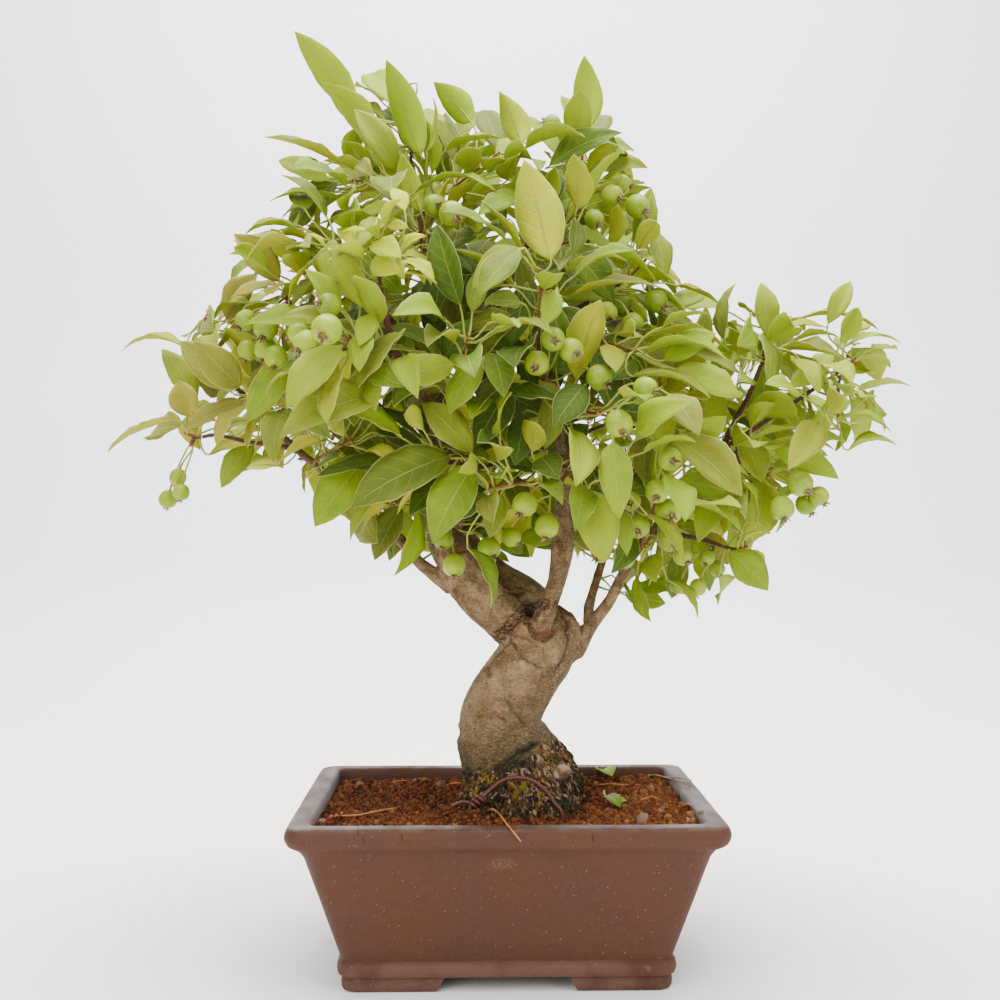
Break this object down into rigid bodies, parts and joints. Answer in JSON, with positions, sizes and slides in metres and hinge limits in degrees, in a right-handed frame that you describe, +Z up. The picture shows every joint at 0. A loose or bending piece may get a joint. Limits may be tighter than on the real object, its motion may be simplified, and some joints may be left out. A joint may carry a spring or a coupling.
{
  "type": "potted bonsai tree",
  "caption": "Crabapple bonsai with a curved trunk, leafy crown and small green fruit, growing in an unglazed rectangular clay pot on low feet.",
  "frame": {"origin": "middle of the pot's footprint, on the surface that it stands on", "axes": "+Z up; +X to the right along the pot's long side, seen from the tree's front; -Y out of the tree's front, towards the viewer"},
  "size_m": [0.4429, 0.2731, 0.5109],
  "materials": {
    "clay": "unglazed, smooth, faintly glossy",
    "soil": "loose fired-clay granules, matt",
    "bark": "bark, rough at the base and smooth above",
    "wire": "copper-brown anodised",
    "mesh": "matt black",
    "leaf": "leaf, satin above and downy below",
    "young_leaf": "young leaf, satin",
    "fruit": "smooth green skin"
  },
  "bodies": {
    "root": {"drainage_mesh_left": "mesh", "drainage_mesh_right": "mesh", "fruit_apex": "fruit", "fruit_back_left": "fruit", "fruit_back_right": "fruit", "fruit_centre": "fruit", "fruit_centre_right": "fruit", "fruit_crown": "fruit", "fruit_drop": "fruit", "fruit_far_left": "fruit", "fruit_far_right": "fruit", "fruit_front": "fruit", "fruit_high": "fruit", "fruit_left_front": "fruit", "fruit_left_upper": "fruit", "fruit_low_left": "fruit", "fruit_low_right": "fruit", "fruit_right_low": "fruit", "fruit_right_shoulder": "fruit", "fruit_shoulder": "fruit", "pot": "clay", "shoot_apex_right": "leaf", "shoot_back_far_right": "leaf", "shoot_back_high_left": "leaf", "shoot_back_high_right": "leaf", "shoot_back_left": "leaf", "shoot_back_low": "leaf", "shoot_back_right": "leaf", "shoot_centre": "leaf", "shoot_centre_high": "leaf", "shoot_centre_left": "leaf", "shoot_centre_right": "leaf", "shoot_crown_back": "leaf", "shoot_crown_front": "leaf", "shoot_crown_left": "leaf", "shoot_crown_right": "leaf", "shoot_crown_tip": "leaf", "shoot_far_left": "leaf", "shoot_far_left_up": "leaf", "shoot_far_right": "leaf", "shoot_front_left": "leaf", "shoot_left_front": "leaf", "shoot_left_low": "leaf", "shoot_left_mid": "leaf", "shoot_left_upper": "leaf", "shoot_low_centre": "leaf", "shoot_low_front": "leaf", "shoot_low_left": "leaf", "shoot_right_drop": "leaf", "shoot_right_inner": "leaf", "shoot_right_low": "leaf", "shoot_right_mid": "leaf", "shoot_right_up": "leaf", "shoot_shoulder_right": "leaf", "shoot_upper_left": "leaf", "shoot_upper_right": "leaf", "shoot_young": "young_leaf", "soil": "soil", "tie_wire": "wire", "wood": "bark"}
  },
  "joints": []
}
